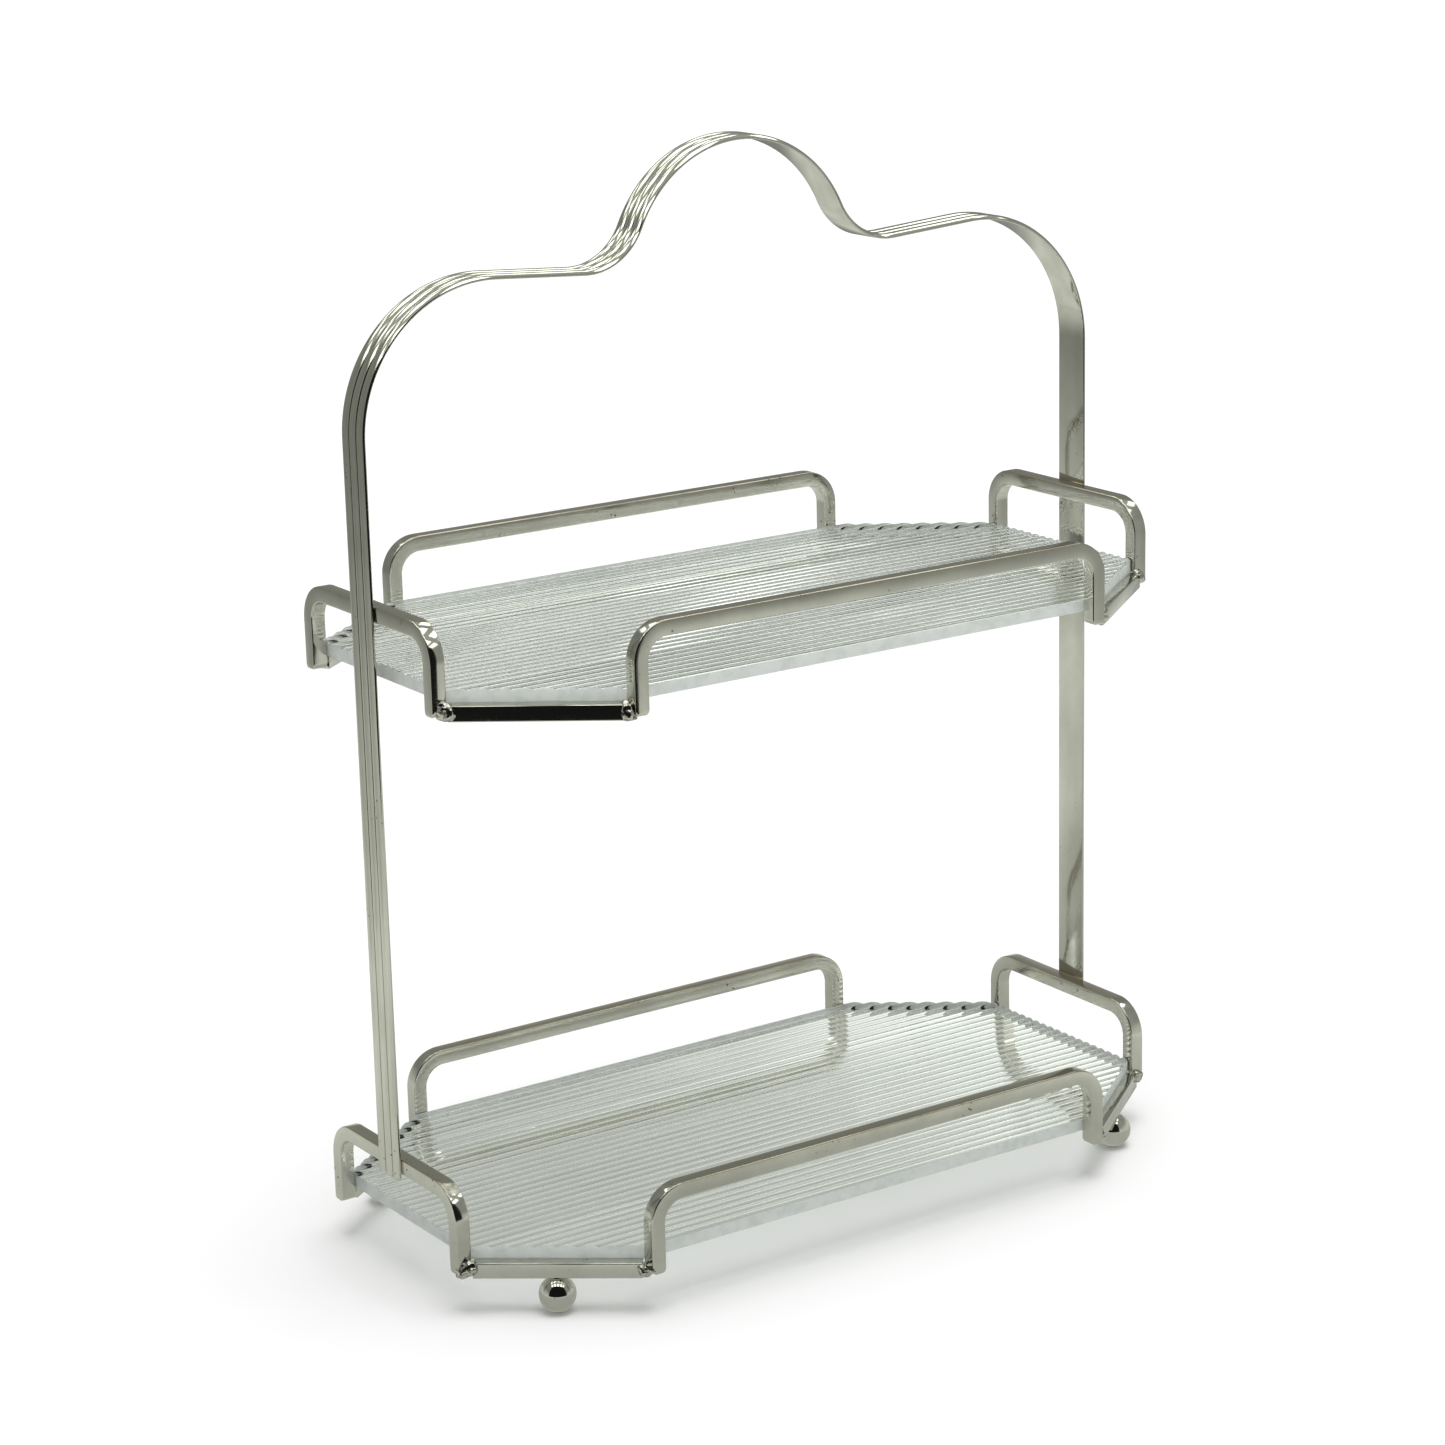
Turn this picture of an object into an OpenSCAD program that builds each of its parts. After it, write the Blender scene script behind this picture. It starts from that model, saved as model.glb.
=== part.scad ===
// Two-tier cake stand: a flat reeded strip bent into a carrying arch, two welded
// square-bar trays that hang between its legs, and a fluted clear panel in each tray.
// The origin is on the table under the middle of the stand. X runs along the trays,
// Y across them, and Z is up.

/* [Trays] */
// Length of a tray over its end rails
tray_length = 276; // [220:1:340]
// Depth of a tray over its long rails
tray_depth = 151.8; // [120:0.1:190]
// Length of a long rail over its posts
long_rail_length = 179.6; // [140:0.1:200]
// Length of an end rail over its posts
end_rail_length = 79; // [60:0.5:90]
// Height of a rail above the foot of its posts
rail_height = 28; // [22:0.5:40]
// Side of the square bar
bar = 5; // [4:0.1:6]
// Outer radius where a rail bends down into a post
bend_radius = 12; // [8:0.5:15]
// Height of the lower tray's post feet above the table
lower_tray_z = 12.9; // [12.9:0.1:14]
// Height of the upper tray's post feet above the table
upper_tray_z = 191.4; // [150:0.1:230]
// How far the lower tray's corner bars sit below its post feet
lower_bar_drop = 1.2; // [0.4:0.1:1.2]
// How far the upper tray's corner bars sit below its post feet
upper_bar_drop = 1.3; // [0:0.1:2]
// How far the corner bars' outer faces stand back from the line between their posts' outer corners
bar_setback = 1; // [0:0.1:1.5]

/* [Panels] */
// Thickness of a panel from its flat underside to the crests of its flutes
panel_thickness = 4.6; // [3:0.1:6]
// Width of one flute
flute_pitch = 4; // [3:0.1:6]
// Height of a flute's crest above the valleys beside it
flute_height = 0.7; // [0.3:0.05:1.2]
// Gap between a panel and the posts around it
panel_gap = 0.5; // [0.4:0.1:1.5]
// How far a panel's slanted sides stand back from the corner bars' outer faces
panel_setback = 3.6; // [3:0.1:4.5]

/* [Arch] */
// Overall height of the stand
overall_height = 349.5; // [330:0.5:380]
// Width of the flat strip
strip_width = 13.2; // [10:0.1:18]
// Thickness of the strip over its reeds
strip_thickness = 1.6; // [1.2:0.1:2.5]
// Width of the two grooves between the strip's three reeds
groove_width = 0.8; // [0.4:0.1:2]
// Depth of the grooves
groove_depth = 0.5; // [0.2:0.05:0.8]
// Height of the strip's two ends above the table
strip_end_z = 34; // [20:0.5:35]
// Outer radius of the bends at the arch's shoulders
shoulder_radius = 46; // [35:0.5:55]
// Angle by which each shoulder rises outwards
shoulder_rise = 4; // [0:0.5:8]
// Outer radius of the hump in the middle of the arch
hump_radius = 43.2; // [35:0.5:46]
// Angle that the hump turns through on each side of its top
hump_angle = 65; // [55:1:70]
// Radius of the outer face in the hollow between hump and shoulder
hollow_radius = 20.2; // [15:0.5:22]

/* [Feet and joints] */
// Diameter of a ball foot
foot_diameter = 11.8; // [11.4:0.1:11.8]
// Radius of the flat spot that a foot stands on
foot_flat_radius = 1.25; // [0.8:0.05:2]
// Radius of the solder neck between a foot and its corner bar
foot_neck_radius = 2.2; // [1.5:0.1:2.4]
// Radius of the weld bead where a corner bar meets a post
bead_radius = 2.6; // [1.5:0.1:3]
// Side of the solder fillet under an end rail, against the strip
fillet_side = 1.4; // [0.8:0.1:1.8]

/* [Hidden] */
TIERS = ["lower", "upper"];
SIDES = ["front", "back", "left", "right"];
CORNERS = ["front_left", "front_right", "back_left", "back_right"];

$fn = 48;
nickel = [0.66, 0.66, 0.61];
polished_ball = [0.72, 0.71, 0.66];
solder = [0.5, 0.48, 0.43];
clear_acrylic = [0.8, 0.85, 0.83, 0.6];

half_length = tray_length / 2;
half_depth = tray_depth / 2;
half_long = long_rail_length / 2;
half_end = end_rail_length / 2;

// Unit vector out of a front-right corner bar, square to the line from post to post
corner_run = [half_length - half_long, half_depth - half_end];
corner_out = [corner_run.y, corner_run.x] / norm(corner_run);
// Unit vector along the back-right corner bar, from the end rail's post to the long rail's post
corner_along = [-corner_out.y, corner_out.x];
// Distance from the middle of the tray to the corner bars' outer faces
corner_reach = corner_out.x * half_length + corner_out.y * half_end - bar_setback;
// A corner bar's square ends stand just clear of the posts' inner corners, for the weld to run between
end_gap = 0.3;
bar_from = bar * corner_out.y + end_gap;
bar_to = norm(corner_run) - bar * corner_out.x - end_gap;

panel_half_length = half_length - bar - panel_gap;
panel_half_depth = half_depth - bar - panel_gap;
flute_count = floor(2 * panel_half_depth / flute_pitch);
// Half the width of a flute at its foot, which leaves a narrow flat valley to the next one
flute_half_width = flute_pitch / 2 - 0.1;
flute_radius = (pow(flute_half_width, 2) + pow(flute_height, 2)) / (2 * flute_height);

foot_radius = foot_diameter / 2;
foot_centre_z = sqrt(pow(foot_radius, 2) - pow(foot_flat_radius, 2));

// The arch's right half in the XZ plane, by its outer face, from the middle outwards
arch_out = half_length + strip_thickness;
hump_centre = [0, overall_height - hump_radius];
hollow_centre = hump_centre + (hump_radius + hollow_radius) * [sin(hump_angle), cos(hump_angle)];
shoulder_down = [sin(shoulder_rise), -cos(shoulder_rise)];
hollow_end = hollow_centre + hollow_radius * shoulder_down;
shoulder_x = arch_out - shoulder_radius;
shoulder_run = (shoulder_x - shoulder_radius * shoulder_down.x - hollow_end.x) / cos(shoulder_rise);
shoulder_start = hollow_end + shoulder_run * [cos(shoulder_rise), sin(shoulder_rise)];
shoulder_centre = shoulder_start + shoulder_radius * shoulder_down;
// Largest angle between two points along a bend
bend_step = 3;

function tray_z(tier) = tier == "lower" ? lower_tray_z : upper_tray_z;
function bar_z(tier) = tier == "lower" ? lower_tray_z - lower_bar_drop : upper_tray_z - upper_bar_drop;
function x_sign(corner) = corner == "front_left" || corner == "back_left" ? -1 : 1;
function y_sign(corner) = corner == "front_left" || corner == "front_right" ? -1 : 1;
// The y of the line, set back by an offset from the corner bars' outer faces, at a given x
function slant_y(x, offset) = (corner_reach - offset - corner_out.x * x) / corner_out.y;
// The x of the same line at a given y
function slant_x(y, offset) = (corner_reach - offset - corner_out.y * y) / corner_out.x;

// Points along an arc. The first is left out where another arc has ended on it.
function arc(centre, radius, from, to, first = 0) =
    let (steps = ceil(abs(to - from) / bend_step))
        [for (i = [first:steps]) let (a = from + (to - from) * i / steps) centre + radius * [cos(a), sin(a)]];
// Right half of the arch in the XZ plane, at a depth below its outer face, from the top of the
// hump to the end of the leg
function half_path(depth) = [
    each arc(hump_centre, hump_radius - depth, 90, 90 - hump_angle),
    each arc(hollow_centre, hollow_radius + depth, 270 - hump_angle, 270 + shoulder_rise, first = 1),
    each arc(shoulder_centre, shoulder_radius - depth, 90 + shoulder_rise, 0),
    [arch_out - depth, strip_end_z]
];
function arch_path(depth) =
    let (right = half_path(depth))
        [for (i = [len(right) - 1:-1:1]) [-right[i].x, right[i].y], each right];

// One rail along X, its outer face on the plane y = 0 and its body towards +Y
module rail(length) {
    inner = bend_radius - bar;
    for (side = [-1, 1]) {
        translate([side * (length - bar) / 2 - bar / 2, 0, 0])
            cube([bar, bar, rail_height - bend_radius]);
        translate([side * (length / 2 - bend_radius), bar, rail_height - bend_radius])
            rotate([90, 0, 0])
                rotate_extrude(angle = 90, start = side > 0 ? 0 : 90)
                    translate([inner, 0])
                        square([bar, bar]);
    }
    translate([bend_radius - length / 2, 0, rail_height - bar])
        cube([length - 2 * bend_radius, bar, bar]);
}

module tray_rail(tier, side) {
    color(nickel)
        translate([0, 0, tray_z(tier)]) {
            if (side == "front") translate([0, -half_depth, 0]) rail(long_rail_length);
            if (side == "back") translate([0, half_depth - bar, 0]) rail(long_rail_length);
            if (side == "left") translate([bar - half_length, 0, 0]) rotate(90) rail(end_rail_length);
            if (side == "right") translate([half_length, 0, 0]) rotate(90) rail(end_rail_length);
        }
}

// Outline of the back-right corner bar
module corner_bar_outline() {
    translate([half_length, half_end])
        rotate(atan2(corner_along.y, corner_along.x))
            translate([bar_from, bar_setback])
                square([bar_to - bar_from, bar]);
}

module corner_bar(tier, corner) {
    color(nickel)
        translate([0, 0, bar_z(tier)])
            scale([x_sign(corner), y_sign(corner), 1])
                linear_extrude(bar)
                    corner_bar_outline();
}

// The two posts and the bar at the back-right corner, which the weld beads lie against
module corner_joint(tier) {
    translate([half_length - bar, half_end - bar, tray_z(tier)])
        cube([bar, bar, rail_height - bend_radius]);
    translate([half_long - bar, half_depth - bar, tray_z(tier)])
        cube([bar, bar, rail_height - bend_radius]);
    translate([0, 0, bar_z(tier)])
        linear_extrude(bar)
            corner_bar_outline();
}

// The two beads at the back-right corner, in the notches between the bar's ends and its posts
module corner_beads(tier) {
    inset = 1.6;
    difference() {
        for (place = [
            [half_length, half_end] + corner_along * bar_from / 2,
            [half_long, half_depth] - corner_along * bar * corner_out.x / 2
        ])
            translate([place.x - inset * corner_out.x, place.y - inset * corner_out.y, bar_z(tier) + bar / 2])
                sphere(bead_radius);
        corner_joint(tier);
    }
}

module corner_welds(tier) {
    color(solder)
        for (corner = CORNERS)
            scale([x_sign(corner), y_sign(corner), 1])
                corner_beads(tier);
}

module panel_outline() {
    polygon([
        for (quarter = [[1, 1], [-1, 1], [-1, -1], [1, -1]])
            let (
                side_end = [quarter.x * panel_half_length, quarter.y * slant_y(panel_half_length, panel_setback)],
                long_end = [quarter.x * slant_x(panel_half_depth, panel_setback), quarter.y * panel_half_depth]
            )
            each quarter.x * quarter.y > 0 ? [side_end, long_end] : [long_end, side_end]
    ]);
}

// Cross-section of a fluted sheet in YZ, its underside on z = 0
module fluted_section() {
    base = panel_thickness - flute_height;
    translate([-panel_half_depth, 0])
        square([2 * panel_half_depth, base]);
    intersection() {
        translate([-panel_half_depth, base - 0.1])
            square([2 * panel_half_depth, flute_height + 0.1]);
        for (i = [0:flute_count - 1])
            translate([(i - (flute_count - 1) / 2) * flute_pitch, panel_thickness - flute_radius])
                circle(flute_radius, $fn = 96);
    }
}

module panel(tier) {
    color(clear_acrylic)
        translate([0, 0, bar_z(tier) + bar])
            intersection() {
                linear_extrude(panel_thickness)
                    panel_outline();
                translate([-panel_half_length, 0, 0])
                    rotate([90, 0, 90])
                        linear_extrude(2 * panel_half_length)
                            fluted_section();
            }
}

// The band between two depths below the arch's outer face, its middle on y = 0
module arch_band(from_depth, to_depth, width) {
    inner_path = arch_path(to_depth);
    translate([0, width / 2, 0])
        rotate([90, 0, 0])
            linear_extrude(width)
                polygon([
                    each arch_path(from_depth),
                    for (i = [len(inner_path) - 1:-1:0]) inner_path[i]
                ]);
}

// Two grooves along the outer face leave three reeds
module handle_arch() {
    color(nickel)
        difference() {
            arch_band(0, strip_thickness, strip_width);
            for (side = [-1, 1])
                translate([0, side * strip_width / 6, 0])
                    arch_band(-1, groove_depth, groove_width);
        }
}

// A fillet of solder in the angle under each end rail, against the strip
module arch_solder() {
    fillet_length = 10;
    color(solder)
        for (tier = TIERS)
            for (side = [1, -1])
                scale([side, 1, 1])
                    translate([half_length, fillet_length / 2, tray_z(tier) + rail_height - bar])
                        rotate([90, 0, 0])
                            linear_extrude(fillet_length)
                                polygon([[0, 0], [-fillet_side, 0], [0, -fillet_side]]);
}

// The ball stands under the middle of a lower corner bar, on a small flat
module foot(corner) {
    bar_middle = [half_length + half_long, half_depth + half_end] / 2 - corner_out * (bar_setback + bar / 2);
    color(polished_ball)
        translate([x_sign(corner) * bar_middle.x, y_sign(corner) * bar_middle.y, 0]) {
            intersection() {
                translate([0, 0, foot_centre_z])
                    sphere(foot_radius, $fn = 96);
                cylinder(r = foot_diameter, h = foot_diameter);
            }
            translate([0, 0, foot_centre_z])
                cylinder(r = foot_neck_radius, h = bar_z("lower") - foot_centre_z);
        }
}

handle_arch();
arch_solder();
for (tier = TIERS) {
    for (side = SIDES)
        tray_rail(tier, side);
    for (corner = CORNERS)
        corner_bar(tier, corner);
    corner_welds(tier);
    panel(tier);
}
for (corner = CORNERS)
    foot(corner);
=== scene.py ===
import math
import bmesh
import bpy
from mathutils import Matrix, Vector, noise


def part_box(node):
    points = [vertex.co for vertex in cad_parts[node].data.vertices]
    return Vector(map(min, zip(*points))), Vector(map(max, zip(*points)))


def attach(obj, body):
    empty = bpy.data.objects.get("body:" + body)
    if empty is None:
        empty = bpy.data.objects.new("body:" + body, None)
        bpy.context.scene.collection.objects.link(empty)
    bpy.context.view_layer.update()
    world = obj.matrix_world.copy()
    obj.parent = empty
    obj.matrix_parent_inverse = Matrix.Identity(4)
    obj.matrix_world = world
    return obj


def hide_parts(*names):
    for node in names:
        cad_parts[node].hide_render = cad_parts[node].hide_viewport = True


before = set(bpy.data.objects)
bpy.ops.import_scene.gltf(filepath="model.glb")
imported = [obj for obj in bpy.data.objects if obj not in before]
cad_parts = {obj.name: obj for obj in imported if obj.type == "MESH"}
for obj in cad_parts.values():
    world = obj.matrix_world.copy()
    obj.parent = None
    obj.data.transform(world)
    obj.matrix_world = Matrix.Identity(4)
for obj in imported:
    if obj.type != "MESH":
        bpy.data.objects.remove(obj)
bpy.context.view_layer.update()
scene = bpy.context.scene
mm = 0.001
tiers = ("lower", "upper")


# ---- camera

cameraSpot = {
    "place": (-0.66146, -0.97152, 0.48242),  # metres, from the point on the table under the stand
    "yaw": 33.92,  # degrees from +Y towards +X
    "pitch": 15.43,  # degrees down
    "roll": -1.40,
    "lens": 92.945,  # mm
    "sensor": 36,  # mm wide
}


def addCamera():
    data = bpy.data.cameras.new("camera")
    data.lens = cameraSpot["lens"]
    data.sensor_width = cameraSpot["sensor"]
    data.clip_start = 0.01
    data.clip_end = 50
    camera = bpy.data.objects.new("camera", data)
    scene.collection.objects.link(camera)
    yaw, pitch, roll = (math.radians(cameraSpot[k]) for k in ("yaw", "pitch", "roll"))
    turn = Matrix.Rotation(-yaw, 4, "Z") @ Matrix.Rotation(math.pi / 2 - pitch, 4, "X")
    camera.matrix_world = Matrix.Translation(cameraSpot["place"]) @ turn @ Matrix.Rotation(roll, 4, "Z")
    scene.camera = camera


addCamera()
print("camera placed")


# ---- node helpers

def addNode(tree, kind, **settings):
    node = tree.nodes.new(kind)
    for key, value in settings.items():
        setattr(node, key, value)
    return node


def setInputs(node, **values):
    for key, value in values.items():
        node.inputs[key.replace("_", " ")].default_value = value
    return node


def feed(tree, source, target):
    tree.links.new(source, target)


def mathNode(tree, operation, first, second=None, clamp=False):
    node = addNode(tree, "ShaderNodeMath", operation=operation, use_clamp=clamp)
    for socket, value in zip(node.inputs, (first, second)):
        if value is None:
            continue
        if isinstance(value, (int, float)):
            socket.default_value = value
        else:
            feed(tree, value, socket)
    return node.outputs[0]


def rangeNode(tree, source, low, high, toLow=0.0, toHigh=1.0):
    node = addNode(tree, "ShaderNodeMapRange", interpolation_type="SMOOTHSTEP")
    feed(tree, source, node.inputs["Value"])
    for key, value in (("From Min", low), ("From Max", high), ("To Min", toLow), ("To Max", toHigh)):
        if isinstance(value, (int, float)):
            node.inputs[key].default_value = value
        else:
            feed(tree, value, node.inputs[key])
    return node.outputs["Result"]


def mixColor(tree, factor, first, second):
    node = addNode(tree, "ShaderNodeMix", data_type="RGBA")
    for socket, value in ((node.inputs[0], factor), (node.inputs[6], first), (node.inputs[7], second)):
        if isinstance(value, (int, float, tuple)):
            socket.default_value = value
        else:
            feed(tree, value, socket)
    return node.outputs[2]


def startGroup(name, inputs, outputs):
    group = bpy.data.node_groups.new(name, "ShaderNodeTree")
    for label, kind, value in inputs:
        socket = group.interface.new_socket(label, in_out="INPUT", socket_type=kind)
        socket.default_value = value
    for label, kind in outputs:
        group.interface.new_socket(label, in_out="OUTPUT", socket_type=kind)
    return group, addNode(group, "NodeGroupInput").outputs, addNode(group, "NodeGroupOutput").inputs


def useGroup(tree, group, **values):
    node = addNode(tree, "ShaderNodeGroup", node_tree=group)
    return setInputs(node, **values)


def startMaterial(name):
    material = bpy.data.materials.new(name)
    material.use_nodes = True
    tree = material.node_tree
    shader = tree.nodes["Principled BSDF"]
    return material, tree, shader


# ---- shared surface effects

floatKind = "NodeSocketFloat"
colorKind = "NodeSocketColor"


def makePlatingGroup():
    # clouding, pits and drawing lines of plated metal
    group, given, out = startGroup(
        "platedSurface",
        [
            ("Bright", colorKind, (0.68, 0.66, 0.6, 1)),
            ("Dull", colorKind, (0.58, 0.57, 0.5, 1)),
            ("Cloud Scale", floatKind, 60.0),
            ("Pit Scale", floatKind, 500.0),
            ("Pit Amount", floatKind, 0.5),
            ("Line Scale", floatKind, 2500.0),
            ("Line Depth", floatKind, 0.3),
            ("Polish", floatKind, 0.08),
            ("Haze", floatKind, 0.1),
        ],
        [("Color", colorKind), ("Roughness", floatKind), ("Height", floatKind)],
    )
    spot = addNode(group, "ShaderNodeTexCoord")
    cloud = setInputs(addNode(group, "ShaderNodeTexNoise"), Detail=4.0, Roughness=0.6)
    feed(group, spot.outputs["Object"], cloud.inputs["Vector"])
    feed(group, given["Cloud Scale"], cloud.inputs["Scale"])
    cloudMask = rangeNode(group, cloud.outputs["Fac"], 0.35, 0.7)

    speck = setInputs(addNode(group, "ShaderNodeTexVoronoi"), Randomness=1.0)
    feed(group, spot.outputs["Object"], speck.inputs["Vector"])
    feed(group, given["Pit Scale"], speck.inputs["Scale"])
    where = setInputs(addNode(group, "ShaderNodeTexNoise"), Scale=90.0, Detail=2.0)
    feed(group, spot.outputs["Object"], where.inputs["Vector"])
    pitGate = rangeNode(group, where.outputs["Fac"], 0.6, 0.72)
    pit = rangeNode(group, speck.outputs["Distance"], 0.1, 0.28, 1.0, 0.0)
    gatedPit = mathNode(group, "MULTIPLY", pit, pitGate)
    pitMask = mathNode(group, "MULTIPLY", gatedPit, given["Pit Amount"])

    # the lines run along the bar, so the noise is stretched along U
    stretch = addNode(group, "ShaderNodeCombineXYZ")
    run = addNode(group, "ShaderNodeSeparateXYZ")
    feed(group, spot.outputs["UV"], run.inputs[0])
    feed(group, mathNode(group, "MULTIPLY", run.outputs["X"], 25.0), stretch.inputs["X"])
    feed(group, mathNode(group, "MULTIPLY", run.outputs["Y"], given["Line Scale"]), stretch.inputs["Y"])
    lines = setInputs(addNode(group, "ShaderNodeTexNoise"), Scale=1.0, Detail=3.0)
    feed(group, stretch.outputs[0], lines.inputs["Vector"])
    lineHeight = mathNode(group, "MULTIPLY", lines.outputs["Fac"], given["Line Depth"])

    plate = mixColor(group, cloudMask, given["Bright"], given["Dull"])
    feed(group, mixColor(group, pitMask, plate, (0.03, 0.028, 0.024, 1)), out["Color"])
    hazeHere = mathNode(group, "MULTIPLY", cloudMask, given["Haze"])
    hazed = mathNode(group, "ADD", given["Polish"], hazeHere)
    feed(group, mathNode(group, "ADD", hazed, pitMask, clamp=True), out["Roughness"])
    feed(group, mathNode(group, "SUBTRACT", lineHeight, pitMask), out["Height"])
    return group


def makeHeatGroup():
    # straw and brown tint that soldering leaves above and below a joint
    group, given, out = startGroup(
        "solderHeat",
        [
            ("Lower Joint", floatKind, 0.04),
            ("Upper Joint", floatKind, 0.22),
            ("Reach", floatKind, 0.0022),
            ("Inside", floatKind, 0.1385),
            ("Amount", floatKind, 0.7),
        ],
        [("Mask", floatKind)],
    )
    spot = addNode(group, "ShaderNodeTexCoord")
    axes = addNode(group, "ShaderNodeSeparateXYZ")
    feed(group, spot.outputs["Object"], axes.inputs[0])
    away = []
    for joint in ("Lower Joint", "Upper Joint"):
        gap = mathNode(group, "SUBTRACT", axes.outputs["Z"], given[joint])
        away.append(mathNode(group, "ABSOLUTE", gap))
    nearest = mathNode(group, "MINIMUM", away[0], away[1])
    patch = setInputs(addNode(group, "ShaderNodeTexNoise"), Scale=220.0, Detail=3.0)
    feed(group, spot.outputs["Object"], patch.inputs["Vector"])
    wobble = mathNode(group, "MULTIPLY", patch.outputs["Fac"], 2.0)
    reach = mathNode(group, "MULTIPLY", given["Reach"], wobble)
    fade = rangeNode(group, nearest, 0.0, reach, 1.0, 0.0)
    # the outer face, turned away from the flame, keeps its colour
    farOut = mathNode(group, "ABSOLUTE", axes.outputs["X"])
    inside = mathNode(group, "LESS_THAN", farOut, given["Inside"])
    shown = mathNode(group, "MULTIPLY", fade, inside)
    feed(group, mathNode(group, "MULTIPLY", shown, given["Amount"]), out["Mask"])
    return group


def makeEdgeGroup():
    # painted highlight: the metal colour is brightened along the arrises
    group, given, out = startGroup(
        "edgeHighlight",
        [("Color", colorKind, (0.6, 0.6, 0.55, 1)), ("Rubbed", colorKind, (0.85, 0.84, 0.8, 1)),
         ("Amount", floatKind, 0.5)],
        [("Color", colorKind)],
    )
    shape = addNode(group, "ShaderNodeNewGeometry")
    edge = rangeNode(group, shape.outputs["Pointiness"], 0.53, 0.62)
    wearAndHighlightMask = mathNode(group, "MULTIPLY", edge, given["Amount"])
    feed(group, mixColor(group, wearAndHighlightMask, given["Color"], given["Rubbed"]), out["Color"])
    return group


plating = makePlatingGroup()
heat = makeHeatGroup()
wearAndHighlight = makeEdgeGroup()
print("shared surface groups made")


# ---- materials of the stand

def railTop(tier):
    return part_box(tier + "_left_rail")[1].z


platedDetail = {
    "straw": (0.42, 0.30, 0.14, 1),  # heat tint
    # painted highlight colour laid along the arrises
    "wearAndHighlight": (0.8, 0.79, 0.74, 1),
    "highlightAmount": 0.5,
    "groove": (0.07, 0.065, 0.055, 1),  # painted shade and dirt in the reed grooves
    "grooveAmount": 0.85,
    "grooveFull": 0.12 * mm,  # half width over which the painted shade and dirt is full
    "grooveGone": 0.42 * mm,
    "bumpStrength": 0.5,
}

barFinish = {
    "bright": (0.69, 0.68, 0.61, 1),
    "dull": (0.60, 0.59, 0.53, 1),
    "polish": 0.07,  # roughness where the plating is clean
    "haze": 0.07,  # added roughness where it is clouded
    "pits": 0.8,
    "lineDepth": 0.25,
    "bumpReach": 0.00002,  # metres
}


def nickelMaterial(name, finish, heatAmount, cloudScale, grooves=()):
    material, tree, shader = startMaterial(name)
    detail = platedDetail
    plate = useGroup(tree, plating, Bright=finish["bright"], Dull=finish["dull"],
                     Polish=finish["polish"], Haze=finish["haze"], Pit_Amount=finish["pits"],
                     Line_Depth=finish["lineDepth"], Cloud_Scale=cloudScale)
    tint = useGroup(tree, heat, Lower_Joint=railTop("lower"), Upper_Joint=railTop("upper"),
                    Amount=heatAmount)
    straw = mixColor(tree, tint.outputs["Mask"], plate.outputs["Color"], detail["straw"])
    # painted highlight along the arrises, where the bar's edges are sharpest
    edge = useGroup(tree, wearAndHighlight, Rubbed=detail["wearAndHighlight"], Amount=detail["highlightAmount"])
    feed(tree, straw, edge.inputs["Color"])
    color = edge.outputs["Color"]
    for groove in grooves:
        # painted shade and dirt in a groove, at a known distance round the section
        axes = addNode(tree, "ShaderNodeSeparateXYZ")
        feed(tree, addNode(tree, "ShaderNodeTexCoord").outputs["UV"], axes.inputs[0])
        gap = mathNode(tree, "ABSOLUTE", mathNode(tree, "SUBTRACT", axes.outputs["Y"], groove))
        shadeAndDirtMask = rangeNode(tree, gap, detail["grooveFull"], detail["grooveGone"],
                           detail["grooveAmount"], 0.0)
        color = mixColor(tree, shadeAndDirtMask, color, detail["groove"])
    feed(tree, color, shader.inputs["Base Color"])
    feed(tree, plate.outputs["Roughness"], shader.inputs["Roughness"])
    bump = setInputs(addNode(tree, "ShaderNodeBump"), Strength=detail["bumpStrength"],
                     Distance=finish["bumpReach"])
    feed(tree, plate.outputs["Height"], bump.inputs["Height"])
    feed(tree, bump.outputs["Normal"], shader.inputs["Normal"])
    setInputs(shader, Metallic=1.0)
    return material


def barMaterial():
    return nickelMaterial("nickelBar", barFinish, 0.25, 45.0)


stripFinish = {
    "bright": (0.70, 0.69, 0.62, 1),
    "dull": (0.61, 0.60, 0.53, 1),
    "polish": 0.06,
    "haze": 0.06,
    "pits": 0.5,
    "grooves": (4.74 * mm, 9.59 * mm),
    "lineDepth": 0.4,
    "bumpReach": 0.00002,
}


def stripMaterial():
    return nickelMaterial("nickelStrip", stripFinish, 0.45, 30.0, stripFinish["grooves"])


ballFinish = {
    "bright": (0.70, 0.69, 0.63, 1),
    "dull": (0.64, 0.63, 0.57, 1),
    "polish": 0.03,
    "haze": 0.05,
    "pits": 0.4,
    "lineDepth": 0.0,
    "bumpReach": 0.00001,
}


def ballMaterial():
    return nickelMaterial("polishedBall", ballFinish, 0.0, 120.0)


solderFinish = {
    "bright": (0.66, 0.64, 0.58, 1),
    "burnt": (0.10, 0.09, 0.075, 1),
    "polish": 0.12,
    "crust": 0.25,  # added roughness where it is burnt
    "lumpScale": 900.0,
    "bumpStrength": 0.6,
    "bumpReach": 0.2 * mm,
}


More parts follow.
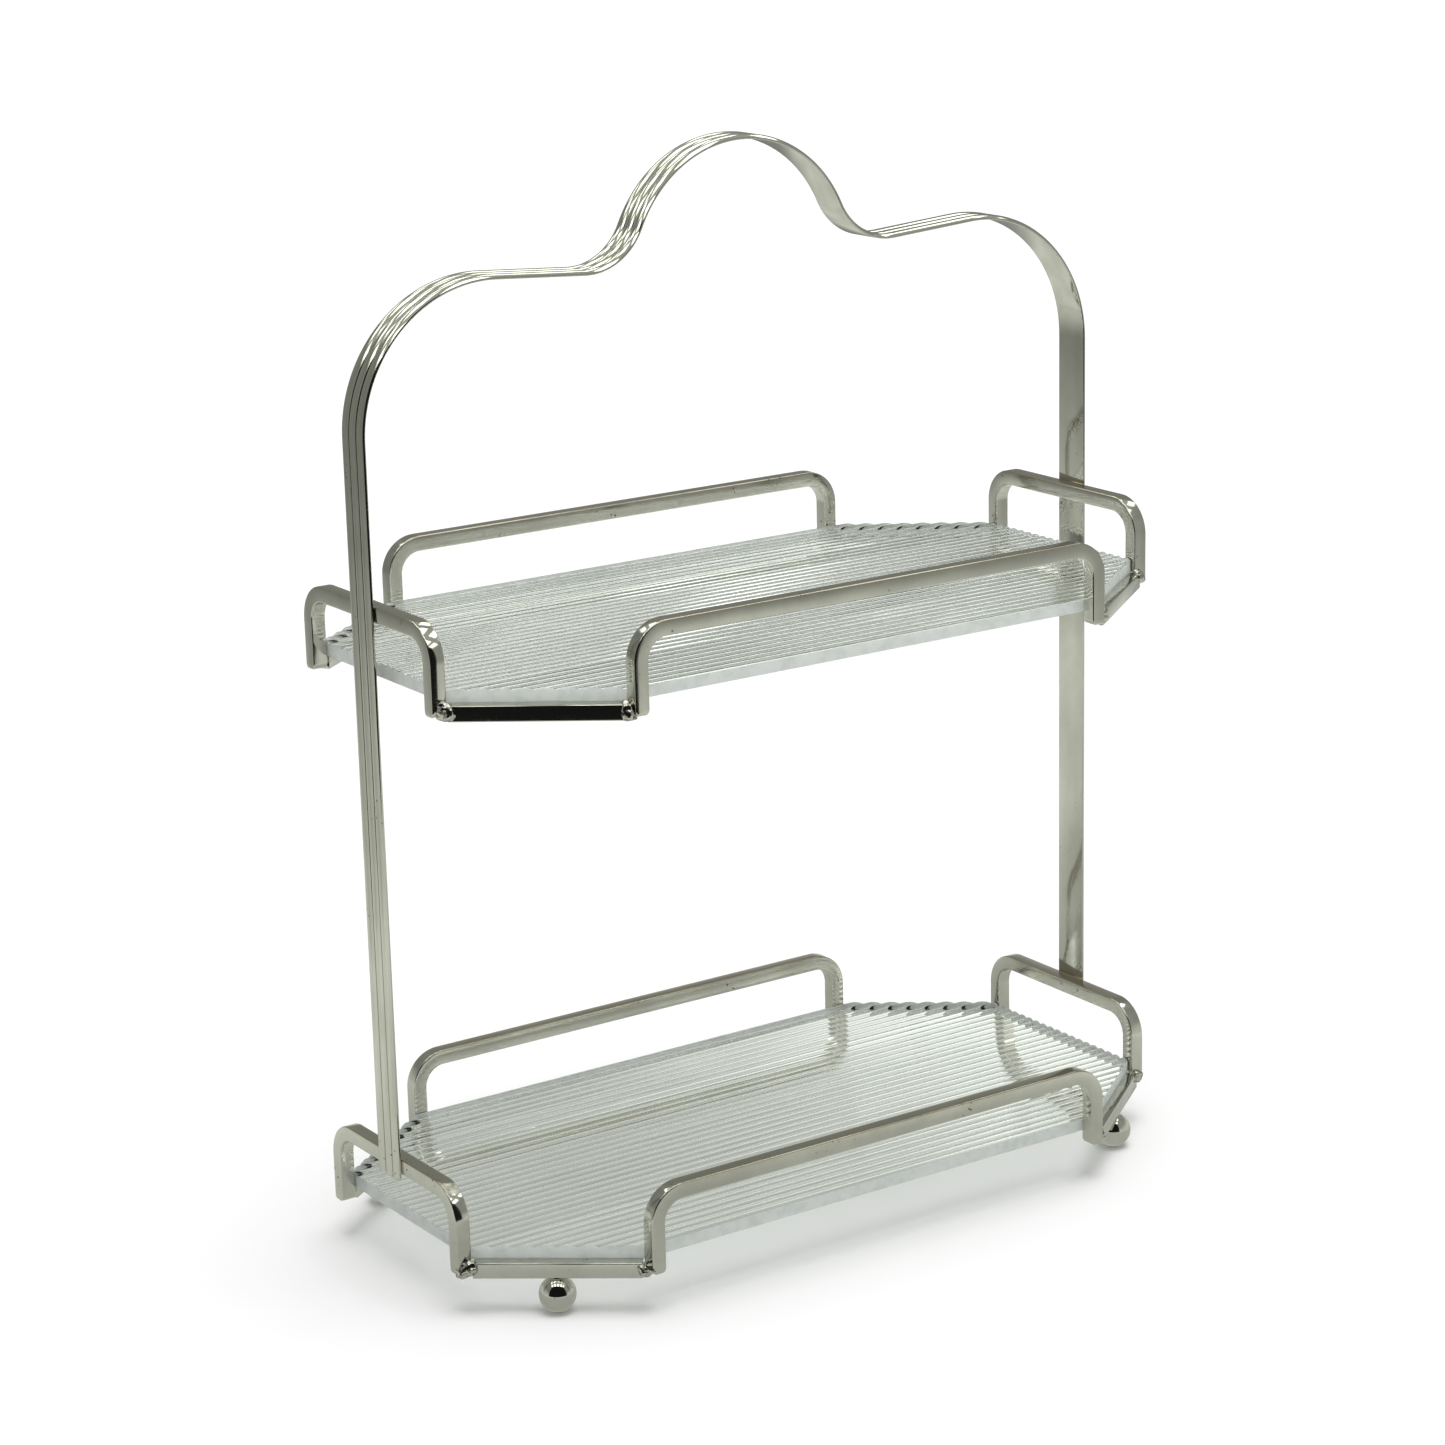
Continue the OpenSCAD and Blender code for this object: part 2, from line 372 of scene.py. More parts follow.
def solderMaterial():
    material, tree, shader = startMaterial("weldSolder")
    spot = addNode(tree, "ShaderNodeTexCoord")
    lump = setInputs(addNode(tree, "ShaderNodeTexNoise"), Scale=solderFinish["lumpScale"],
                     Detail=5.0, Roughness=0.6)
    feed(tree, spot.outputs["Object"], lump.inputs["Vector"])
    burn = rangeNode(tree, lump.outputs["Fac"], 0.5, 0.62)
    color = mixColor(tree, burn, solderFinish["bright"], solderFinish["burnt"])
    feed(tree, color, shader.inputs["Base Color"])
    crust = mathNode(tree, "MULTIPLY", burn, solderFinish["crust"])
    feed(tree, mathNode(tree, "ADD", crust, solderFinish["polish"]), shader.inputs["Roughness"])
    bump = setInputs(addNode(tree, "ShaderNodeBump"), Strength=solderFinish["bumpStrength"],
                     Distance=solderFinish["bumpReach"])
    feed(tree, lump.outputs["Fac"], bump.inputs["Height"])
    feed(tree, bump.outputs["Normal"], shader.inputs["Normal"])
    setInputs(shader, Metallic=1.0)
    return material


panelShape = {
    "flutePitch": 4 * mm,
    "fluteHeight": 0.7 * mm,
    "valley": 0.2 * mm,  # flat between two flutes
    "fluteSteps": 8,
    "setback": 3.6 * mm,  # of the slanted sides from the corner bars' outer faces
    "sawnLean": 0.05,  # a side face leans less than this from upright
    "sawnArea": 10 * mm * mm,  # and is bigger than this
}


acrylicFinish = {
    "clear": (0.985, 0.997, 0.99, 1),
    "milky": (0.94, 0.965, 0.955, 1),
    # painted shade laid along the flute valleys
    "grime": (0.66, 0.69, 0.68, 1),
    "ior": 1.36,
    "polish": 0.0,
    "wearAndHighlight": 0.02,  # roughness where plates have slid on it
    "wearScale": 35.0,
    "valleyShadeStretch": (18, 500, 0),  # patches of the painted valley shade are long and narrow
    "rippleScale": 120.0,
    "rippleStrength": 0.08,
    "rippleReach": 0.1 * mm,
    "shade": (0.79, 0.79, 0.795, 1),  # what a lamp's light keeps on its way through
}


def acrylicMaterial():
    material, tree, shader = startMaterial("clearAcrylic")
    finish = acrylicFinish
    spot = addNode(tree, "ShaderNodeTexCoord")
    wear = setInputs(addNode(tree, "ShaderNodeTexNoise"), Scale=finish["wearScale"], Detail=4.0)
    feed(tree, spot.outputs["Object"], wear.inputs["Vector"])
    wearAndHighlightMask = rangeNode(tree, wear.outputs["Fac"], 0.45, 0.75)
    color = mixColor(tree, wearAndHighlightMask, finish["clear"], finish["milky"])
    # painted shade darkens the flute valleys, which lie half a flute from the panel's middle line
    axes = addNode(tree, "ShaderNodeSeparateXYZ")
    feed(tree, spot.outputs["Object"], axes.inputs[0])
    turns = mathNode(tree, "MULTIPLY", axes.outputs["Y"], 2 * math.pi / panelShape["flutePitch"])
    valley = rangeNode(tree, mathNode(tree, "COSINE", turns), 0.2, -0.95)
    patchy = setInputs(addNode(tree, "ShaderNodeTexNoise"), Scale=1.0, Detail=2.0)
    stretch = addNode(tree, "ShaderNodeVectorMath", operation="MULTIPLY")
    feed(tree, spot.outputs["Object"], stretch.inputs[0])
    stretch.inputs[1].default_value = finish["valleyShadeStretch"]
    feed(tree, stretch.outputs[0], patchy.inputs["Vector"])
    patch = rangeNode(tree, patchy.outputs["Fac"], 0.3, 0.7, 0.25, 0.9)
    color = mixColor(tree, mathNode(tree, "MULTIPLY", valley, patch), color, finish["grime"])
    feed(tree, color, shader.inputs["Base Color"])
    rough = rangeNode(tree, wear.outputs["Fac"], 0.45, 0.75, finish["polish"], finish["wearAndHighlight"])
    feed(tree, rough, shader.inputs["Roughness"])
    ripple = setInputs(addNode(tree, "ShaderNodeTexNoise"), Scale=finish["rippleScale"], Detail=2.0)
    feed(tree, spot.outputs["Object"], ripple.inputs["Vector"])
    bump = setInputs(addNode(tree, "ShaderNodeBump"), Strength=finish["rippleStrength"],
                     Distance=finish["rippleReach"])
    feed(tree, ripple.outputs["Fac"], bump.inputs["Height"])
    feed(tree, bump.outputs["Normal"], shader.inputs["Normal"])
    setInputs(shader, Transmission_Weight=1.0, IOR=finish["ior"], Metallic=0.0)
    # lamps shine through the panel, so it throws only a pale shade
    clear = setInputs(addNode(tree, "ShaderNodeBsdfTransparent"), Color=finish["shade"])
    path = addNode(tree, "ShaderNodeLightPath")
    choose = addNode(tree, "ShaderNodeMixShader")
    feed(tree, path.outputs["Is Shadow Ray"], choose.inputs["Fac"])
    feed(tree, shader.outputs[0], choose.inputs[1])
    feed(tree, clear.outputs[0], choose.inputs[2])
    feed(tree, choose.outputs[0], tree.nodes["Material Output"].inputs["Surface"])
    return material


sawnFinish = {
    "pale": (0.80, 0.83, 0.815, 1),
    "green": (0.68, 0.73, 0.70, 1),
    "roughness": 0.45,
    "throughput": 0.45,  # share of the light that passes on through the matt face
    "sawScale": 260.0,
    "bumpStrength": 0.3,
    "bumpReach": 0.1 * mm,
}


def sawnMaterial():
    # cut edges are matt and carry the sheet's faint green
    material, tree, shader = startMaterial("sawnAcrylic")
    spot = addNode(tree, "ShaderNodeTexCoord")
    saw = setInputs(addNode(tree, "ShaderNodeTexNoise"), Scale=sawnFinish["sawScale"], Detail=4.0)
    feed(tree, spot.outputs["Object"], saw.inputs["Vector"])
    mask = rangeNode(tree, saw.outputs["Fac"], 0.4, 0.7)
    color = mixColor(tree, mask, sawnFinish["pale"], sawnFinish["green"])
    feed(tree, color, shader.inputs["Base Color"])
    bump = setInputs(addNode(tree, "ShaderNodeBump"), Strength=sawnFinish["bumpStrength"],
                     Distance=sawnFinish["bumpReach"])
    feed(tree, saw.outputs["Fac"], bump.inputs["Height"])
    feed(tree, bump.outputs["Normal"], shader.inputs["Normal"])
    setInputs(shader, Roughness=sawnFinish["roughness"], Transmission_Weight=sawnFinish["throughput"],
              IOR=acrylicFinish["ior"])
    return material


nickelBar = barMaterial()
nickelStrip = stripMaterial()
polishedBall = ballMaterial()
weldSolder = solderMaterial()
clearAcrylic = acrylicMaterial()
sawnAcrylic = sawnMaterial()
print("materials made")


# ---- making and placing pieces

sharpAngle = math.radians(33)


def finishPiece(bm, name, material, body, node):
    bmesh.ops.remove_doubles(bm, verts=bm.verts, dist=1e-7)
    bmesh.ops.recalc_face_normals(bm, faces=bm.faces)
    for face in bm.faces:
        face.smooth = True
    for edge in bm.edges:
        edge.smooth = len(edge.link_faces) == 2 and edge.calc_face_angle(0.0) < sharpAngle
    mesh = bpy.data.meshes.new(name)
    bm.to_mesh(mesh)
    bm.free()
    mesh.materials.append(material)
    piece = bpy.data.objects.new(name, mesh)
    scene.collection.objects.link(piece)
    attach(piece, body)
    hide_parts(node)
    return piece


def camelName(node):
    first, *rest = node.split("_")
    return first + "".join(word.capitalize() for word in rest)


def startLoop(points):
    # a closed ring of edges, with how far round each point lies kept on its vertex
    bm = bmesh.new()
    around = bm.verts.layers.float.new("around")
    bm.verts.layers.float.new("along")
    verts = [bm.verts.new(point) for point in points]
    ring = [bm.edges.new((verts[i - 1], verts[i])) for i in range(len(verts))]
    travelled = 0.0
    for i, vert in enumerate(verts):
        if i:
            travelled += (vert.co - verts[i - 1].co).length
        vert[around] = travelled
    girth = travelled + (verts[0].co - verts[-1].co).length
    return bm, ring, girth


def ringVerts(ring):
    return list({vert for edge in ring for vert in edge.verts})


def pullRing(bm, ring, shift):
    along = bm.verts.layers.float["along"]
    made = bmesh.ops.extrude_edge_only(bm, edges=ring)["geom"]
    verts = [item for item in made if isinstance(item, bmesh.types.BMVert)]
    bmesh.ops.translate(bm, verts=verts, vec=shift)
    for vert in verts:
        vert[along] += shift.length
    return [item for item in made if isinstance(item, bmesh.types.BMEdge)
            and all(vert in verts for vert in item.verts)]


def turnRing(bm, ring, centre, degrees, steps):
    # bends the ring about the Y axis through a centre
    along = bm.verts.layers.float["along"]
    before = set(bm.verts)
    verts = ringVerts(ring)
    middle = sum((vert.co for vert in verts), Vector()) / len(verts)
    reach = (middle - centre).length
    start = math.atan2(middle.x - centre.x, middle.z - centre.z)
    travelled = verts[0][along]
    made = bmesh.ops.spin(bm, geom=ring, cent=centre, axis=(0, 1, 0), dvec=(0, 0, 0),
                          angle=math.radians(degrees), steps=steps, use_duplicate=False)["geom_last"]
    for vert in bm.verts:
        if vert not in before:
            here = math.atan2(vert.co.x - centre.x, vert.co.z - centre.z)
            swept = abs((here - start + math.pi) % (2 * math.pi) - math.pi)
            vert[along] = travelled + reach * swept
    return [item for item in made if isinstance(item, bmesh.types.BMEdge)]


def squeezeRing(bm, ring, factors, about):
    bmesh.ops.scale(bm, vec=factors, verts=ringVerts(ring), space=Matrix.Translation(-Vector(about)))


def layGrain(bm, girth, shift):
    # UV map in metres: U runs along the bar and V round it
    along = bm.verts.layers.float["along"]
    around = bm.verts.layers.float["around"]
    grain = bm.loops.layers.uv.new("grain")
    for face in bm.faces:
        places = [loop.vert[around] for loop in face.loops]
        wraps = max(places) - min(places) > girth / 2
        for loop in face.loops:
            place = loop.vert[around]
            if wraps and place < girth / 2:
                place += girth
            loop[grain].uv = (loop.vert[along] + shift, place)


def mirrorHalf(bm):
    along = bm.verts.layers.float["along"]
    bmesh.ops.mirror(bm, geom=bm.verts[:] + bm.edges[:] + bm.faces[:], axis="X", merge_dist=1e-6)
    for vert in bm.verts:
        if vert.co.x < -1e-6:
            vert[along] = -vert[along]


def arcPoints(centre, radius, fromDegrees, toDegrees, steps):
    # points in the YZ plane, with 0 degrees towards +Y and 90 towards +Z
    points = []
    for i in range(steps + 1):
        angle = math.radians(fromDegrees + (toDegrees - fromDegrees) * i / steps)
        y, z = centre[0] + radius * math.cos(angle), centre[1] + radius * math.sin(angle)
        points.append(Vector((0, y, z)))
    return points


# ---- square-bar rails

railShape = {
    "bendRadius": 12 * mm,  # outer radius of the bends
    "arris": 0.45 * mm,  # rounding along the bar's edges
    "footRadius": 1.8 * mm,  # rounding of a post's foot
    "footSteps": 7,
    "footDraw": 1.75,  # how much narrower the foot ends, in rounding radii
    "footTuck": 0.035,  # share that each of the last steps loses front to back
    "bendSteps": 20,
    "grainShift": 1.7,  # metres of grain between one rail and the next
}


def squareSection(bar, arris, top):
    # a square in the YZ plane with rounded corners, its outer face on y = 0, its top at a height
    points = []
    corners = [(bar - arris, top - arris, 0), (arris, top - arris, 90),
               (arris, top - bar + arris, 180), (bar - arris, top - bar + arris, 270)]
    for y, z, start in corners:
        points += arcPoints((y, z), arris, start, start + 90, 4)
    return points


def makeRail(tier, side, number):
    node = f"{tier}_{side}_rail"
    low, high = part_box(node)
    runsAlongX = side in ("front", "back")
    bar = (high.y - low.y) if runsAlongX else (high.x - low.x)
    half = ((high.x - low.x) if runsAlongX else (high.y - low.y)) / 2
    shape = railShape
    bend, foot = shape["bendRadius"], shape["footRadius"]
    bm, ring, girth = startLoop(squareSection(bar, shape["arris"], high.z))
    ring = pullRing(bm, ring, Vector((half - bend, 0, 0)))
    ring = turnRing(bm, ring, Vector((half - bend, 0, high.z - bend)), 90, shape["bendSteps"])
    ring = pullRing(bm, ring, Vector((0, 0, low.z + foot - (high.z - bend))))
    # the foot draws in on both sides, then closes nearly flat
    steps = shape["footSteps"]
    width = bar
    sunk = 0.0
    for i in range(1, steps + 1):
        angle = math.pi / 2 * i / steps
        nextSunk = foot * math.sin(angle)
        nextWidth = bar - foot * (1 - math.cos(angle)) * shape["footDraw"]
        ring = pullRing(bm, ring, Vector((0, 0, sunk - nextSunk)))
        squeezeRing(bm, ring, (nextWidth / width, 1, 1), (half - bar / 2, 0, 0))
        if i >= steps - 2:
            tuck = 1 - shape["footTuck"] * (i - steps + 3)
            squeezeRing(bm, ring, (1, tuck, 1), (0, bar / 2, 0))
        width, sunk = nextWidth, nextSunk
    bmesh.ops.contextual_create(bm, geom=ring)
    mirrorHalf(bm)
    layGrain(bm, girth, number * shape["grainShift"])
    turn = {"front": 0, "right": 90, "back": 180, "left": 270}[side]
    place = {
        "front": (0, low.y, 0),
        "back": (0, high.y, 0),
        "left": (low.x, 0, 0),
        "right": (high.x, 0, 0),
    }[side]
    bmesh.ops.transform(bm, verts=bm.verts,
                        matrix=Matrix.Translation(place) @ Matrix.Rotation(math.radians(turn), 4, "Z"))
    return finishPiece(bm, camelName(node), nickelBar, "frame", node)


rails = [
    makeRail(tier, side, i * 4 + j)
    for i, tier in enumerate(tiers)
    for j, side in enumerate(("front", "right", "back", "left"))
]
print("rails bent:", len(rails))


# ---- corner bars

cornerShape = {
    "setback": 1.0 * mm,  # from the line between the posts' outer arrises
    "endGap": 0.3 * mm,  # to each post, filled by the weld bead
    "arris": 0.35 * mm,
    "arrisSteps": 3,
    "grainShift": 2.3,  # metres
}
corners = {"front_left": (-1, -1), "front_right": (1, -1), "back_left": (-1, 1), "back_right": (1, 1)}


def cornerLine(tier, corner):
    # the line between the outer arrises of an end rail's post and a long rail's post
    signX, signY = corners[corner]
    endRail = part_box(tier + "_right_rail")[1]
    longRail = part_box(tier + "_back_rail")[1]
    start = Vector((signX * endRail.x, signY * endRail.y, 0))
    end = Vector((signX * longRail.x, signY * longRail.y, 0))
    along = (end - start).normalized()
    out = Vector((along.y, -along.x, 0))
    if out.x * signX < 0:
        out = -out
    return start, end, along, out


def makeCornerBar(tier, corner, number):
    node = f"{tier}_{corner}_corner_bar"
    low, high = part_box(node)
    bar = high.z - low.z
    start, end, along, out = cornerLine(tier, corner)
    shape = cornerShape
    # the ends are cut square, just clear of the two posts
    first = bar * abs(out.y) + shape["endGap"]
    last = (end - start).length - bar * abs(out.x) - shape["endGap"]
    middle = start + along * (first + last) / 2 - out * (shape["setback"] + bar / 2)
    middle.z = low.z + bar / 2
    axes = Matrix((along, out, (0, 0, 1))).transposed().to_4x4()
    stretch = Matrix.Diagonal((last - first, bar, bar, 1))
    bm = bmesh.new()
    bmesh.ops.create_cube(bm, size=1)
    bmesh.ops.transform(bm, verts=bm.verts, matrix=Matrix.Translation(middle) @ axes @ stretch)
    bmesh.ops.recalc_face_normals(bm, faces=bm.faces)
    sharp = [edge for edge in bm.edges if edge.calc_face_angle(0.0) > sharpAngle]
    bmesh.ops.bevel(bm, geom=sharp, offset=shape["arris"], segments=shape["arrisSteps"],
                    profile=0.5, affect="EDGES", material=-1, clamp_overlap=True)
    grain = bm.loops.layers.uv.new("grain")
    for face in bm.faces:
        for loop in face.loops:
            spot = loop.vert.co
            loop[grain].uv = (spot.dot(along) + number * shape["grainShift"], spot.dot(out) + spot.z)
    return finishPiece(bm, camelName(node), nickelBar, "frame", node)


cornerBars = [
    makeCornerBar(tier, corner, i * 4 + j)
    for i, tier in enumerate(tiers)
    for j, corner in enumerate(corners)
]
print("corner bars cut:", len(cornerBars))


# ---- weld beads and arch solder

beadShape = {
    "seed": 5,  # without it the lumps would lie differently on every run
    "lumps": 7,
    "radius": 2.4 * mm,
    "spread": 2.6 * mm,
    "voxel": 0.28 * mm,
    "frontSize": 1.0,  # the front left corner, built up most
    "otherSize": 0.8,
    "sizeWander": 0.15,
    "shrink": 0.07,  # each lump is this share smaller than the one before
    "endReach": 3.0 * mm,  # bead's middle from an end rail's post
    "longReach": 2.4 * mm,  # and from a long rail's post
    "inset": 1.3 * mm,
    "lift": 0.9 * mm,  # above the bar's middle
    "climb": 1.3 * mm,
    "below": 0.2 * mm,  # most that a bead hangs under the bar
    "above": 2.4 * mm,  # most that it stands over it
}
lumpShape = {"swellScale": 900, "swell": 0.28}


def lumpOf(bm, centre, radius, squash, seed):
    made = bmesh.ops.create_icosphere(bm, subdivisions=3, radius=radius)["verts"]
    for vert in made:
        spot = vert.co.copy()
        swell = noise.noise(spot * lumpShape["swellScale"] + Vector((seed * 7.3, seed * 3.1, seed)))
        vert.co = spot * (1 + lumpShape["swell"] * swell)
    bmesh.ops.scale(bm, verts=made, vec=squash)
    bmesh.ops.translate(bm, verts=made, vec=centre)


def fuseLumps(bm, name, material, body, node, voxel):
    # the lumps run together as melted metal does
    piece = finishPiece(bm, name, material, body, node)
    melt = piece.modifiers.new("melt", "REMESH")
    melt.mode = "VOXEL"
    melt.voxel_size = voxel
    melt.use_smooth_shade = True
    soften = piece.modifiers.new("soften", "CORRECTIVE_SMOOTH")
    soften.use_only_smooth = True
    soften.iterations = 3
    return piece


def makeWelds(tier):
    # lumps in the notches between a corner bar's ends and its posts, spilling onto both
    node = tier + "_corner_welds"
    barLow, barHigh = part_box(f"{tier}_front_left_corner_bar")
    shape = beadShape
    noise.seed_set(shape["seed"])
    bm = bmesh.new()
    seed = 11 if tier == "lower" else 47
    for corner in corners:
        start, end, along, out = cornerLine(tier, corner)
        bulk = shape["frontSize"] if corner == "front_left" else shape["otherSize"]
        for post, inward, reach in ((start, along, shape["endReach"]), (end, -along, shape["longReach"])):
            seed += 5
            size = bulk * (1 + shape["sizeWander"] * noise.noise((seed * 1.37, 0.5, 0.5)))
            centre = post + inward * reach - out * shape["inset"]
            centre.z = (barLow.z + barHigh.z) / 2 + shape["lift"]
            for lump in range(shape["lumps"]):
                nudge = noise.noise_vector((seed * 2.11, lump * 5.7, 0.3)) * shape["spread"]
                # alternate lumps lie higher and lower, so the weld fills the notch
                climb = (lump % 3 - 1) * shape["climb"] * size
                radius = shape["radius"] * size * (1 - shape["shrink"] * lump)
                spot = centre + nudge - out * max(0.0, nudge.dot(out)) + Vector((0, 0, climb))
                lowest = barLow.z + radius - shape["below"]
                spot.z = min(max(spot.z, lowest), barHigh.z + shape["above"] - radius)
                lumpOf(bm, spot, radius, (1, 1, 0.95), seed + lump)
    return fuseLumps(bm, camelName(node), weldSolder, "frame", node, shape["voxel"])


for tier in tiers:
    makeWelds(tier)

filletShape = {
    "length": 10 * mm,
    "lumps": 9,
    "radius": 1.0 * mm,
    "voxel": 0.25 * mm,
    "sunk": 0.3 * mm,  # into the rail's outer face and underside
    "wander": 0.6 * mm,
}


def makeArchSolder():
    node = "arch_solder"
    shape = filletShape
    bm = bmesh.new()
    seed = 3
    for tier in tiers:
        low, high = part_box(tier + "_right_rail")
        inner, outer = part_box(tier + "_front_rail")
        bar = outer.y - inner.y
        for sign in (1, -1):
            for i in range(shape["lumps"]):
                seed += 1
                wander = noise.noise((seed * 0.73, 1.5, 0.2))
                y = shape["length"] * ((i + 0.5) / shape["lumps"] - 0.5) + wander * shape["wander"]
                radius = shape["radius"] * (1 + 0.5 * wander)
                centre = Vector((sign * (high.x - shape["sunk"]), y, high.z - bar - shape["sunk"]))
                lumpOf(bm, centre, radius, (1, 1.3, 1.1), seed)
    return fuseLumps(bm, camelName(node), weldSolder, "frame", node, shape["voxel"])


makeArchSolder()
print("weld beads and solder laid")


# ---- reeded arch

archShape = {
    "thickness": 1.6 * mm,
    "reeds": 3,
    "valley": 0.2 * mm,  # flat between two reeds
    "reedRise": 0.85 * mm,
    "arris": 0.35 * mm,  # rounding of the strip's edges
    "shoulderRadius": 46 * mm,
    "shoulderRise": 4,  # degrees
    "humpRadius": 43.2 * mm,
    "humpAngle": 65,  # degrees each side of the top
    "hollowRadius": 20.2 * mm,
    "endRounding": 0.9 * mm,
    "endSteps": ((0.45, 0.985, 0.95), (0.35, 0.96, 0.9), (0.2, 0.95, 0.8)),  # drop, width, depth
}


def reededSection(width, top):
    # in the YZ plane, the reeded face upwards with its crests at the given height
    shape = archShape
    pitch = width / shape["reeds"]
    half = (pitch - shape["valley"]) / 2
    rise = shape["reedRise"]
    radius = (half ** 2 + rise ** 2) / (2 * rise)
    sweep = math.degrees(math.asin(half / radius))
    arris = shape["arris"]
    bottom = top - shape["thickness"]
    points = []
    for reed in range(shape["reeds"]):
        y = (shape["reeds"] - 1) / 2 * pitch - reed * pitch
        points += arcPoints((y, top - radius), radius, 90 - sweep, 90 + sweep, 8)
    edge = width / 2
    points += arcPoints((arris - edge, bottom + arris), arris, 180, 270, 4)
    points += arcPoints((edge - arris, bottom + arris), arris, 270, 360, 4)
    return points


def makeArch():
    node = "handle_arch"
    low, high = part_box(node)
    shape = archShape
    hump, hollow, shoulder = shape["humpRadius"], shape["hollowRadius"], shape["shoulderRadius"]
    tilt, rise = math.radians(shape["humpAngle"]), math.radians(shape["shoulderRise"])
    humpCentre = Vector((0, 0, high.z - hump))
    hollowCentre = humpCentre + (hump + hollow) * Vector((math.sin(tilt), 0, math.cos(tilt)))
    uphill = Vector((math.cos(rise), 0, math.sin(rise)))
    down = Vector((math.sin(rise), 0, -math.cos(rise)))
    hollowEnd = hollowCentre + hollow * down
    shoulderX = high.x - shoulder
    run = (shoulderX - shoulder * down.x - hollowEnd.x) / uphill.x
    shoulderCentre = hollowEnd + run * uphill + shoulder * down
    bm, ring, girth = startLoop(reededSection(high.y - low.y, high.z))
    ring = turnRing(bm, ring, humpCentre, shape["humpAngle"], 36)
    ring = turnRing(bm, ring, hollowCentre, -shape["humpAngle"] - shape["shoulderRise"], 30)
    ring = pullRing(bm, ring, run * uphill)
    ring = turnRing(bm, ring, shoulderCentre, 90 + shape["shoulderRise"], 48)
    end = shape["endRounding"]
    ring = pullRing(bm, ring, Vector((0, 0, low.z + end - shoulderCentre.z)))
    centre = (high.x - shape["thickness"] / 2, 0, 0)
    for drop, width, depth in shape["endSteps"]:
        ring = pullRing(bm, ring, Vector((0, 0, -end * drop)))
        squeezeRing(bm, ring, (depth, width, 1), centre)
    bmesh.ops.contextual_create(bm, geom=ring)
    mirrorHalf(bm)
    layGrain(bm, girth, 0.0)
    return finishPiece(bm, camelName(node), nickelStrip, "frame", node)


makeArch()
print("reeded arch bent")


# ---- fluted panels

def flutedSection(half, low, high):
    shape = panelShape
    count = int(2 * half / shape["flutePitch"])
    reach = (shape["flutePitch"] - shape["valley"]) / 2
    rise = shape["fluteHeight"]
    radius = (reach ** 2 + rise ** 2) / (2 * rise)
    sweep = math.degrees(math.asin(reach / radius))
    points = [Vector((0, half, low)), Vector((0, half, high - rise))]
    for i in range(count):
        y = ((count - 1) / 2 - i) * shape["flutePitch"]
        points += arcPoints((y, high - radius), radius, 90 - sweep, 90 + sweep, shape["fluteSteps"])
    return points + [Vector((0, -half, high - rise)), Vector((0, -half, low))]


def makePanel(tier):
    node = tier + "_panel"
    low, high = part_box(node)
    bm = bmesh.new()
    verts = [bm.verts.new(point) for point in flutedSection(high.y, low.z, high.z)]
    section = bm.faces.new(verts)
    bmesh.ops.translate(bm, verts=verts, vec=(low.x, 0, 0))
    made = bmesh.ops.extrude_face_region(bm, geom=[section])["geom"]
    moved = [item for item in made if isinstance(item, bmesh.types.BMVert)]
    bmesh.ops.translate(bm, verts=moved, vec=(high.x - low.x, 0, 0))
    for corner in corners:
        start, end, along, out = cornerLine(tier, corner)
        inset = cornerShape["setback"] + panelShape["setback"]
        cut = bmesh.ops.bisect_plane(bm, geom=bm.verts[:] + bm.edges[:] + bm.faces[:],
                                     plane_co=start - out * inset, plane_no=out,
                                     clear_outer=True)["geom_cut"]
        rim = [item for item in cut if isinstance(item, bmesh.types.BMEdge)]
        bmesh.ops.contextual_create(bm, geom=rim)
    piece = finishPiece(bm, camelName(node), clearAcrylic, node, node)
    piece.data.materials.append(sawnAcrylic)
    for face in piece.data.polygons:
        if abs(face.normal.z) < panelShape["sawnLean"] and face.area > panelShape["sawnArea"]:
            face.material_index = 1
    return piece


panels = [makePanel(tier) for tier in tiers]
print("fluted panels cut:", len(panels))


# ---- ball feet

footShape = {
    "diameter": 11.8 * mm,
    "flatRadius": 1.25 * mm,
    "neckRadius": 2.0 * mm,
    "filletRadius": 0.8 * mm,
    "collar": 0.35 * mm,  # swell of solder where the neck meets the bar
    "collarHeight": 0.3 * mm,
    "profileSteps": 40,
    "turnSteps": 64,
}


def makeFoot(corner):
    node = corner + "_foot"
    low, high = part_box(node)
    shape = footShape
    radius = shape["diameter"] / 2
    centre = math.sqrt(radius ** 2 - shape["flatRadius"] ** 2)
    startAngle = -math.degrees(math.acos(shape["flatRadius"] / radius))
    neck, fillet = shape["neckRadius"], shape["filletRadius"]
    # the fillet touches both the ball and the neck
    filletZ = math.sqrt((radius + fillet) ** 2 - (neck + fillet) ** 2)
    touch = math.degrees(math.atan2(filletZ, neck + fillet))
    profile = [Vector((0, 0, 0))]
    profile += arcPoints((0, centre), radius, startAngle, touch, shape["profileSteps"])
    profile += arcPoints((neck + fillet, centre + filletZ), fillet, 180 + touch, 180, 4)[1:]
    profile += [Vector((0, neck, high.z - shape["collarHeight"])),
                Vector((0, neck + shape["collar"], high.z)), Vector((0, 0, high.z))]
    bm = bmesh.new()
    verts = [bm.verts.new(point) for point in profile]
    edges = [bm.edges.new((verts[i - 1], verts[i])) for i in range(1, len(verts))]
    bmesh.ops.spin(bm, geom=verts + edges, cent=(0, 0, 0), axis=(0, 0, 1), dvec=(0, 0, 0),
                   angle=2 * math.pi, steps=shape["turnSteps"], use_merge=True)
    middle = (low + high) / 2
    bmesh.ops.translate(bm, verts=bm.verts, vec=(middle.x, middle.y, 0))
    return finishPiece(bm, camelName(node), polishedBall, "frame", node)


feet = [makeFoot(corner) for corner in corners]
print("ball feet turned:", len(feet))


